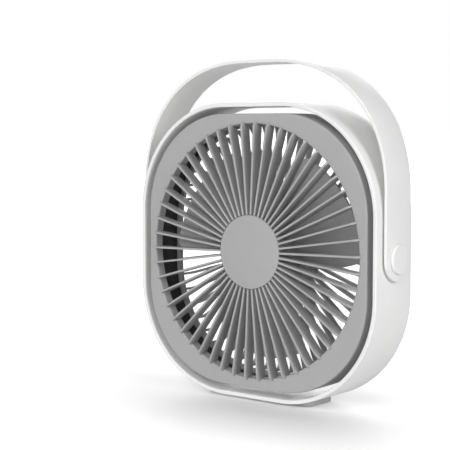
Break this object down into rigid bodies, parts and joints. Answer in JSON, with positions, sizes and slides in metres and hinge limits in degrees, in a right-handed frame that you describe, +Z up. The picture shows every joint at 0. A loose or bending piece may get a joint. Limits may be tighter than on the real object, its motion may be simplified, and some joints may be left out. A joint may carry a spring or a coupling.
{
  "type": "portable fan",
  "caption": "Portable fan: a grilled head tilts inside a rounded-square hoop on a foot pad, with a strap handle that swings on the same side pivots.",
  "frame": {"origin": "on the floor, under the middle of the fan", "axes": "+Z up, +X to the viewer's right from the front, +Y to the back; the air leaves towards -Y"},
  "size_m": [0.158, 0.0352, 0.1736],
  "materials": {
    "white_plastic": "satin, finely textured",
    "white_button": "satin",
    "grey_plastic": "matte, finely textured",
    "grey_blades": "satin",
    "foot_rubber": "matte",
    "dark_plastic": "matte",
    "washer": "matte",
    "steel": "zinc plated",
    "bronze": "sintered bronze",
    "magnet": "matte ferrite",
    "rotor_core": "enamelled windings on a steel core",
    "board_green": "solder mask",
    "cell_wrap": "foil pouch",
    "light_lens": "clear"
  },
  "bodies": {
    "frame": {"outer_ring": "white_plastic", "base_foot": "foot_rubber", "pivot_collar_left": "white_plastic", "pivot_collar_right": "white_plastic", "strap_washer_left": "washer", "strap_washer_right": "washer"},
    "handle": {"handle_strap": "white_plastic", "pivot_cap_left": "white_plastic", "pivot_cap_right": "white_plastic"},
    "head": {"front_grille": "grey_plastic", "face_disc": "grey_plastic", "head_shell": "grey_plastic", "duct_ring": "dark_plastic", "rear_grille": "grey_plastic", "pivot_pin_left": "dark_plastic", "pivot_pin_right": "dark_plastic", "pivot_screw_left": "steel", "pivot_screw_right": "steel", "tilt_washer_left": "washer", "tilt_washer_right": "washer", "housing_screw_1": "steel", "housing_screw_2": "steel", "housing_screw_3": "steel", "housing_screw_4": "steel", "pod_cover": "grey_plastic", "pod_screw_left": "steel", "pod_screw_right": "steel", "circuit_board": "board_green", "battery_cell": "cell_wrap", "usb_socket": "steel", "tact_switch": "dark_plastic", "indicator_light": "light_lens", "motor_can": "steel", "motor_end_cap": "dark_plastic", "motor_magnet_left": "magnet", "motor_magnet_right": "magnet", "motor_bearing_front": "bronze", "motor_bearing_rear": "bronze", "motor_screw_left": "steel", "motor_screw_right": "steel"},
    "impeller": {"impeller": "grey_blades", "motor_shaft": "steel", "motor_rotor": "rotor_core"},
    "button": {"power_button": "white_button"}
  },
  "joints": [
    {"name": "handle_swing", "type": "hinge", "parent": "frame", "child": "handle", "pos_m": [0, 0, 0.0765], "axis": [1, 0, 0], "range_deg": [-130, 130]},
    {"name": "head_tilt", "type": "hinge", "parent": "frame", "child": "head", "pos_m": [0, 0, 0.0765], "axis": [1, 0, 0], "range_deg": [-90, 90]},
    {"name": "impeller_spin", "type": "hinge", "parent": "head", "child": "impeller", "pos_m": [0, 0, 0.0765], "axis": [0, 1, 0], "continuous": true},
    {"name": "button_press", "type": "slide", "parent": "head", "child": "button", "axis": [0, -1, 0], "range_m": [0, 0.0008], "stiffness_N_per_m": 400, "springref_m": -0.0004}
  ]
}
